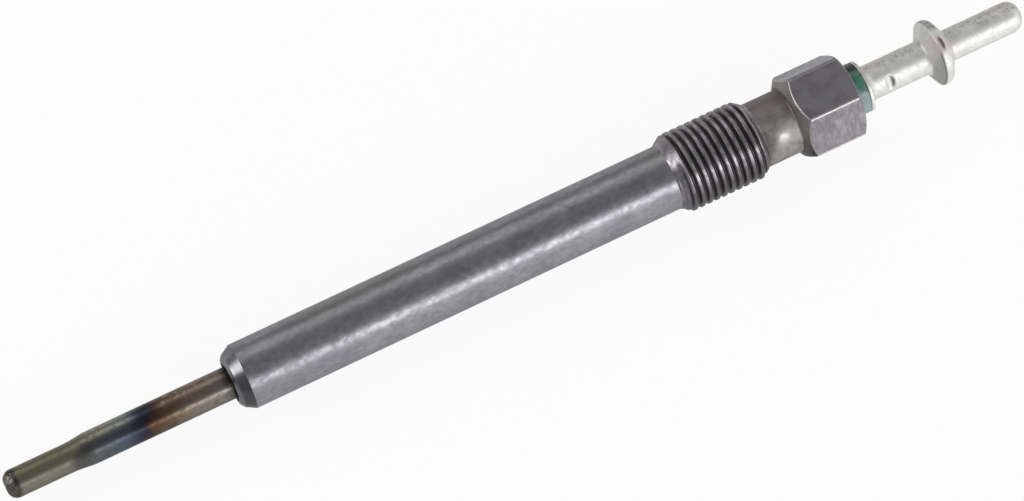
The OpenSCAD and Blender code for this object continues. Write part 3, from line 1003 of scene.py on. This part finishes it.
def tinned_steel():
    """Dull tin with painted shade above, in olive and warm patches, dark flecks there too, a grimy collar
    with painted shade, and a few marks.
    """
    s, tone = metal("tinned_steel")
    radius = s.radius()
    around = s.uneven(s.y, 0.45, 2.0, detail=4.0)
    collar = s.times(s.span(radius, COLLAR_STARTS_R), s.span(s.x, COLLAR_STARTS_X))
    # Painted shade on the upper side, in olive and warm patches, weaker on the collar.
    upper = s.times(s.span(around, TIN_SHADED_UPPER_Y, (0.0, 0.85)), s.span(collar, WHOLE, (1.0, 0.15)))
    patches = s.mix(s.span(s.noise(0.22, 2.0), (0.5, 0.58)), TIN_OLIVE_SHADE, TIN_WARM_SHADE)
    tone = s.mix(upper, tone, patches)
    flecks = s.span(s.noise(2.1, 8.0), (0.48, 0.62), (0.0, 0.9))
    at_end = s.span(s.x, PIN_TIP_X, (0.6, 1.0))
    tone = s.mix(s.times(s.times(flecks, at_end), upper), tone, TIN_DIRT_AND_SHADE)
    tone = collar_grime_and_shade(s, tone, around, collar)
    s.set(Base_Color=terminal_marks(s, tone, around, radius))
    return s.material


def collar_grime_and_shade(s, tone, around, collar):
    """Grime and painted shade on the collar's front face, grime on its rim, and darkest where painted
    shade lies low on the face and along its edge, and in specks.
    """
    on_face = s.span(s.x, COLLAR_FACE_X)
    face = s.times(on_face, s.span(around, FACE_GRIME_AND_SHADE_Y, (0.0, 0.85)))
    rim = s.times(s.span(s.x, COLLAR_RIM_X), s.span(around, GRIME_RIM_Y, (0.0, 0.8)))
    tone = s.mix(s.times(collar, s.larger(face, rim)), tone, TIN_GRIME_AND_SHADE)
    # Painted shade, darkest low on the face.
    lowest = s.times(on_face, s.span(around, FACE_LOWEST_SHADE_Y, (0.0, 0.55)))
    specks = s.times(rim, s.span(s.noise(1.9, 6.0), (0.44, 0.62)))
    tone = s.mix(s.times(collar, s.larger(lowest, specks)), tone, TIN_DIRT_AND_SHADE)
    # A line of painted shade along the face's edge on its lower side.
    edge = s.times(s.span(s.off(s.x, COLLAR_EDGE_X), COLLAR_EDGE_HALF), s.span(around, COLLAR_EDGE_SHADE_Y))
    return s.mix(s.times(edge, collar), tone, TIN_DIRT_AND_SHADE)


def terminal_marks(s, tone, around, radius):
    """Red traces round the collar, a ragged nick in its rim, and a darker colour in the crimp mark."""
    red_x = s.times(s.span(s.x, RED_STARTS_X), s.span(s.x, RED_ENDS_X))
    red_y = s.times(s.span(around, RED_STARTS_Y, (0.0, 0.55)), s.span(around, RED_ENDS_Y))
    tone = s.mix(s.times(s.times(red_x, red_y), s.span(s.z, RED_Z)), tone, TIN_PINK)
    nick = s.span(s.uneven(s.spot(NICK, NICK_HALF), 2.2, 1.6, detail=4.0), (2.2, 0.7), (0.0, 0.9))
    tone = s.mix(s.times(nick, s.span(s.z, NICK_Z)), tone, NICK_DARK)
    # Darker inside the crimp dent.
    in_dent = s.times(s.span(radius, CRIMP_DENT_R), s.span(s.x, CRIMP_DENT_X))
    return s.mix(s.times(in_dent, s.span(s.x, CRIMP_ENDS_X)), tone, CRIMP_DENT_DARK)


def matte(name):
    """A dull powder or rubber of the table, with a cloudy tone and a fine grain."""
    base, shade, roughness = MATTES[name]
    s = Surface(name)
    cloudy = s.noise(1.1, 4.0)
    grain = s.noise(9.0, 2.0)
    roughest = min(roughness + MATTE_SPREAD, 1.0)
    s.set(Base_Color=s.mix(s.span(cloudy, (0.35, 0.7)), base, shade))
    s.set(Roughness=s.span(grain, MOST_NOISE, (roughness - MATTE_SPREAD, roughest)))
    s.bump(0.01, grain)
    return s.material


def dress(node, material):
    """Gives one CAD node a material in place of its own."""
    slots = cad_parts[node].data.materials
    slots.clear()
    slots.append(material)


def dress_inner_nodes():
    """Gives the CAD nodes inside the shell their materials."""
    for node, name in INNER_METALS.items():
        surface, _ = metal(name)
        dress(node, surface.material)
    for node, name in INNER_MATTES.items():
        dress(node, matte(name))


# Stage, in metres and strengths. The floor's glow in the metal is given before and past the hexagon, and
# holds a painted shadow of the part.
FLOOR_SIZE = 6.0
FLOOR_WHITE = 0.94
GLOW_TO_CAMERA = 0.92
GLOW_BY_KEY = (0.63, 0.95)
GLOW_OPPOSITE = (0.0, 0.35)
GLOW_HEX_X = (0.074, 0.080)
GLOW_SIDE_Y = (-0.006, 0.006)
CONTACT_REACH = (0.004, 0.012)
CONTACT_SHADE = 0.3

# World: strengths overhead and at the horizon, which is lightest in one direction
ZENITH = 0.28
ZENITH_FROM = 0.85
LIGHT_SIDE = 1.2
LIGHT_SIDE_AT = (0.6, -0.8, 0.0)
DARK_SIDE = 0.28
DARK_UNTIL = -0.2

# Lamps: direction from the part, distance, shift along X, size and radiance
LAMPS = {
    "key": ((0.0, -0.84, 0.54), 0.7, 0.34, (0.7, 0.2), 3.5),
    "fill": ((0.0, 0.76, 0.65), 0.7, 0.1, (1.2, 0.36), 0.68),
    "left": ((-0.72, 0.31, 0.62), 0.8, 0.0, (0.45, 0.35), 3.0),
    "right": ((0.85, 0.1, 0.5), 0.8, 0.0, (0.6, 0.6), 0.35),
}


def floor_glow(n):
    """Share of the floor's glow: nearly all to the camera, and in the metal by place on the floor.

    In the metal it is lighter on the key lamp's side and past the hexagon; a painted shadow of the part
    darkens it on the other side and close to the part.
    """
    path = n.add("ShaderNodeLightPath").outputs
    place = n.add("ShaderNodeTexCoord").outputs["Object"]
    x, y, _ = n.add("ShaderNodeSeparateXYZ", {"Vector": place}).outputs
    by_key = n.linear(x, GLOW_HEX_X, GLOW_BY_KEY)
    opposite = n.linear(x, GLOW_HEX_X, GLOW_OPPOSITE)
    open_floor = n.linear(n.math("ABSOLUTE", y), CONTACT_REACH, (CONTACT_SHADE, 1.0))
    glow = n.times(n.linear(y, GLOW_SIDE_Y, (by_key, opposite)), open_floor)
    mirrored = n.larger(path["Is Glossy Ray"], path["Is Transmission Ray"])
    return n.larger(n.times(mirrored, glow), n.times(path["Is Camera Ray"], GLOW_TO_CAMERA))


def floor_material():
    """White paper that shows nearly white, with a soft shadow of the part."""
    material = bpy.data.materials.new("floor")
    material.use_nodes = True
    n = Nodes(material.node_tree)
    shader = n.tree.nodes["Principled BSDF"]
    n.put(shader.inputs["Base Color"], (FLOOR_WHITE, FLOOR_WHITE, FLOOR_WHITE, 1.0))
    n.put(shader.inputs["Roughness"], 1.0)
    n.put(shader.inputs["Specular IOR Level"], 0.0)
    glow = n.add("ShaderNodeEmission").outputs[0]
    mix = n.add("ShaderNodeMixShader", {0: floor_glow(n), 1: shader.outputs[0], 2: glow})
    n.put(n.tree.nodes["Material Output"].inputs["Surface"], mix.outputs[0])
    return material


def make_floor():
    """A plane that touches the thread's first full crest and the front of the shank, as the part lies."""
    slope = (CREST_R - SHANK_R) / (LEAD_END_X - SEAT_END_X)
    level = (slope * LEAD_END_X - CREST_R) * MM
    half = FLOOR_SIZE / 2
    square = ((-half, -half), (half, -half), (half, half), (-half, half))
    mesh = bpy.data.meshes.new("floor")
    mesh.from_pydata([(x, y, level - slope * x) for x, y in square], [], [(0, 1, 2, 3)])
    mesh.materials.append(floor_material())
    floor = bpy.data.objects.new("floor", mesh)
    bpy.context.scene.collection.objects.link(floor)


def make_world():
    """A grey surround, dark overhead and lightest at the horizon by the key lamp. It shows as white."""
    world = bpy.data.worlds.new("studio")
    bpy.context.scene.world = world
    world.use_nodes = True
    n = Nodes(world.node_tree)
    direction = n.add("ShaderNodeTexCoord").outputs["Generated"]
    height = n.add("ShaderNodeSeparateXYZ", {"Vector": direction}).outputs["Z"]
    facing = n.add("ShaderNodeVectorMath", {0: direction, 1: LIGHT_SIDE_AT}, operation="DOT_PRODUCT")
    horizon = n.linear(facing.outputs["Value"], (DARK_UNTIL, 1.0), (DARK_SIDE, LIGHT_SIDE))
    level = n.linear(height, (0.0, ZENITH_FROM), (horizon, ZENITH))
    camera = n.add("ShaderNodeLightPath").outputs["Is Camera Ray"]
    background = n.tree.nodes["Background"]
    n.put(background.inputs["Color"], (1.0, 1.0, 1.0, 1.0))
    n.put(background.inputs["Strength"], n.larger(level, camera))


def softbox(name, towards, distance, along, size, radiance):
    """A rectangular lamp that faces the part from a direction, moved along X, of a given radiance."""
    lamp = bpy.data.lights.new(name, "AREA")
    lamp.shape = "RECTANGLE"
    lamp.size, lamp.size_y = size
    lamp.energy = radiance * math.pi * size[0] * size[1]
    back = Vector(towards).normalized()
    side = Vector((0, 0, 1)).cross(back).normalized()
    turn = Matrix((side, back.cross(side), back)).transposed().to_4x4()
    obj = bpy.data.objects.new(name, lamp)
    obj.matrix_world = Matrix.Translation(AIM * MM + back * distance + Vector((along, 0, 0))) @ turn
    bpy.context.scene.collection.objects.link(obj)


def make_lights():
    """The lamps of the table."""
    for name, lamp in LAMPS.items():
        softbox(name, *lamp)


def make_camera():
    """The photo's view: steeply from above, with the part rising to the right."""
    tilt, turn, roll = (math.radians(a) for a in (VIEW_TILT, VIEW_TURN, VIEW_ROLL))
    back = Vector((-math.sin(tilt), -math.cos(tilt) * math.sin(turn), math.cos(tilt) * math.cos(turn)))
    along = (Vector((1, 0, 0)) - back * back.x).normalized()
    across = back.cross(along)
    right = along * math.cos(roll) - across * math.sin(roll)
    up = along * math.sin(roll) + across * math.cos(roll)
    px_per_mm = FOCAL_PX / VIEW_DISTANCE
    shift = right * (IMAGE_W / 2 - AIM_PX[0]) - up * (IMAGE_H / 2 - AIM_PX[1])
    eye = AIM + shift / px_per_mm + back * VIEW_DISTANCE
    data = bpy.data.cameras.new("camera")
    data.sensor_width = SENSOR
    data.lens = FOCAL_PX / IMAGE_W * SENSOR
    data.clip_start = VIEW_NEAREST * MM
    camera = bpy.data.objects.new("camera", data)
    camera.matrix_world = Matrix.Translation(eye * MM) @ Matrix((right, up, back)).transposed().to_4x4()
    bpy.context.scene.collection.objects.link(camera)
    bpy.context.scene.camera = camera


housing_piece()
heater_piece()
bush_piece()
terminal_piece()
dress_inner_nodes()
make_floor()
make_world()
make_lights()
make_camera()
bpy.context.scene.view_settings.view_transform = "Standard"
